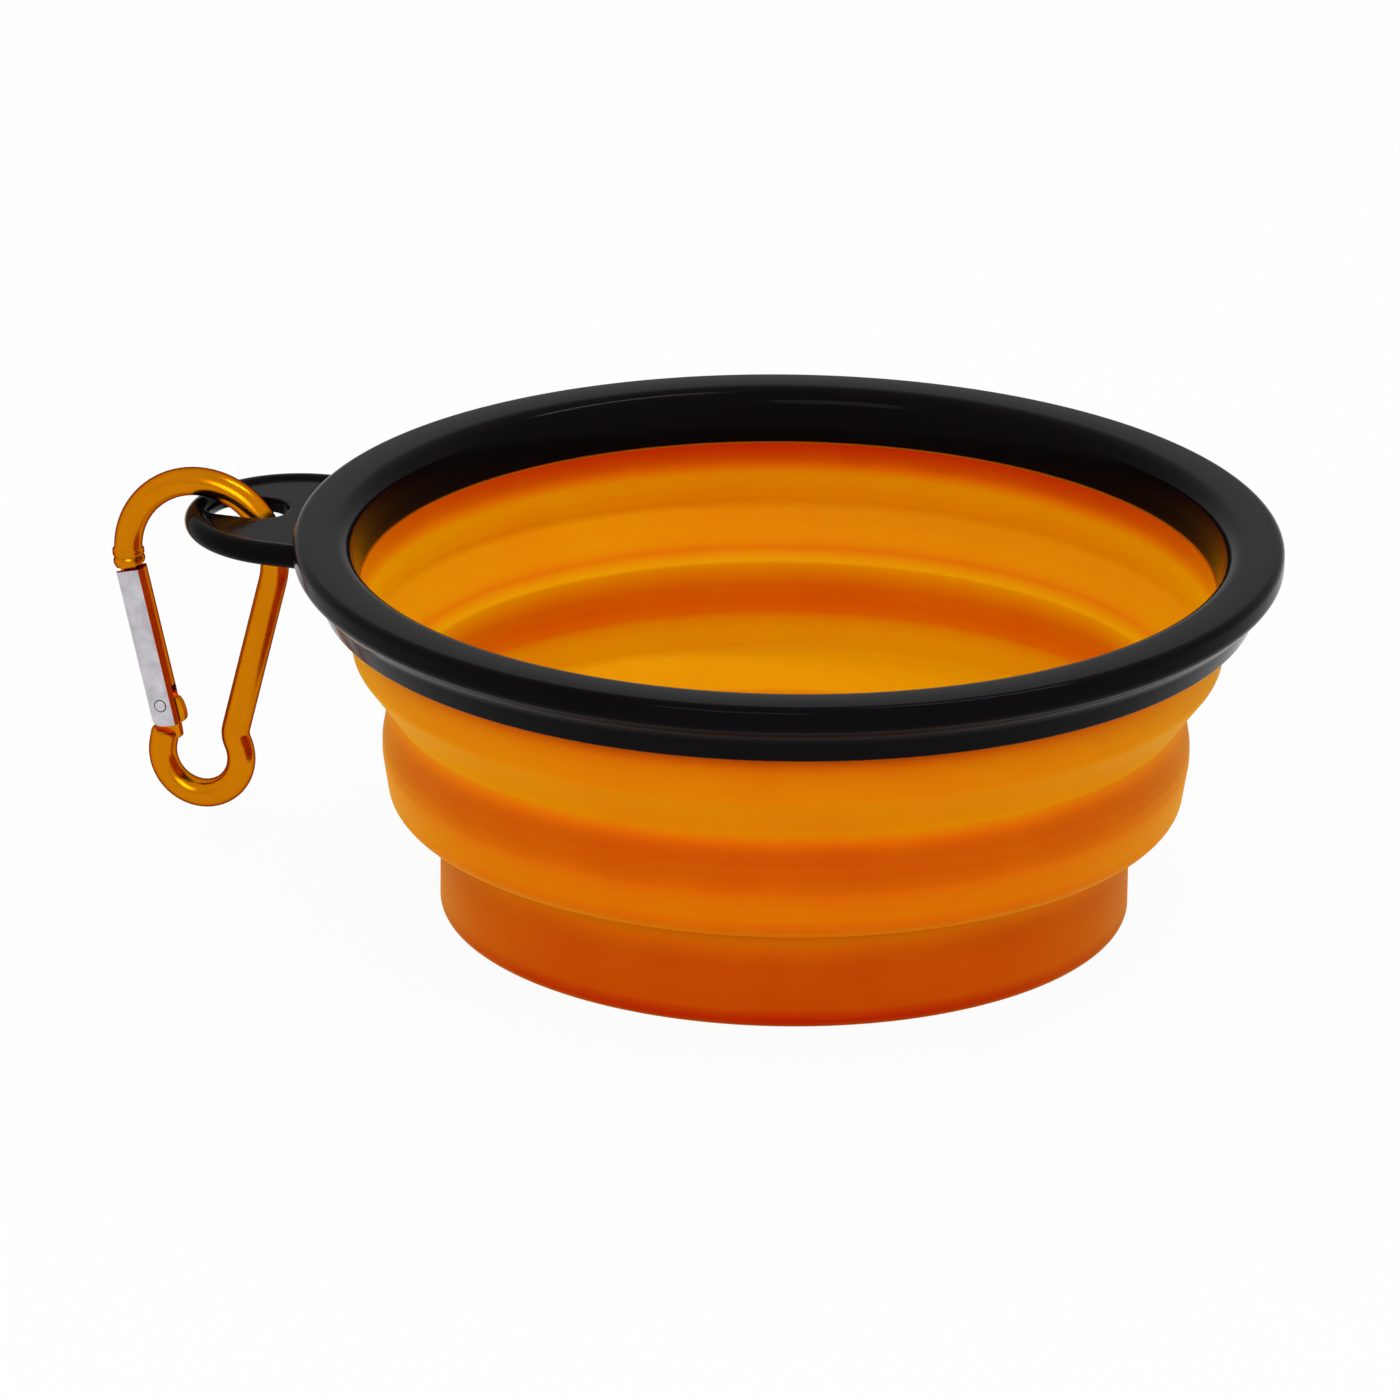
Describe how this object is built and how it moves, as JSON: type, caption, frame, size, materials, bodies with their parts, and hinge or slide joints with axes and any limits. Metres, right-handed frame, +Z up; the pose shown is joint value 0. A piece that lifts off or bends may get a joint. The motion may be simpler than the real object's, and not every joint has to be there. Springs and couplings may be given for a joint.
{
  "type": "collapsible pet bowl",
  "caption": "Round folding silicone travel bowl in a hard rim with an ear, and a small spring-gate carabiner hung from the ear.",
  "frame": {"origin": "centre of the base's underside, on the surface that the bowl stands on", "axes": "+Z up through the bowl's axis; the rim's ear and the carabiner point along -X; Y runs across"},
  "size_m": [0.1595, 0.13, 0.0514],
  "materials": {
    "silicone": "satin moulded silicone, slightly translucent",
    "rim_plastic": "semi-gloss moulded black plastic",
    "anodised_orange": "orange anodised, glossy",
    "bare_aluminium": "bare flat cheeks, satin",
    "rivet_metal": "peened, satin",
    "spring_steel": "bright wire"
  },
  "bodies": {
    "rim": {"rim_ring": "rim_plastic", "top_band": "silicone"},
    "middle": {"middle_band": "silicone", "upper_fold_web": "silicone"},
    "base": {"base_cup": "silicone", "lower_fold_web": "silicone"},
    "carabiner": {"carabiner_body": "anodised_orange"},
    "gate": {"carabiner_gate": "bare_aluminium", "gate_rivet": "rivet_metal"},
    "plunger": {"gate_plunger": "spring_steel", "gate_spring": "spring_steel"}
  },
  "joints": [
    {"name": "middle_fold", "type": "slide", "parent": "rim", "child": "middle", "axis": [0, 0, 1], "range_m": [0, 0.0158], "deforming": ["upper_fold_web"]},
    {"name": "base_fold", "type": "slide", "parent": "middle", "child": "base", "axis": [0, 0, 1], "range_m": [0, 0.0168], "deforming": ["lower_fold_web"]},
    {"name": "carabiner_swing", "type": "hinge", "parent": "rim", "child": "carabiner", "pos_m": [-0.0818, 0, 0.0452], "axis": [0, 1, 0], "range_deg": [-10, 170]},
    {"name": "gate_open", "type": "hinge", "parent": "carabiner", "child": "gate", "pos_m": [-0.08741, 0, 0.0168], "axis": [0, 1, 0], "range_deg": [0, 30], "stiffness_Nm_per_rad": 0.02, "springref_deg": -28.65},
    {"name": "plunger_push", "type": "slide", "parent": "gate", "child": "plunger", "axis": [-0.2368, 0, 0.9715], "range_m": [0, 0.00045], "deforming": ["gate_spring"]}
  ],
  "couplings": [
    {"joint": "plunger_push", "follows": "gate_open", "m_per_rad": 0.000859}
  ]
}
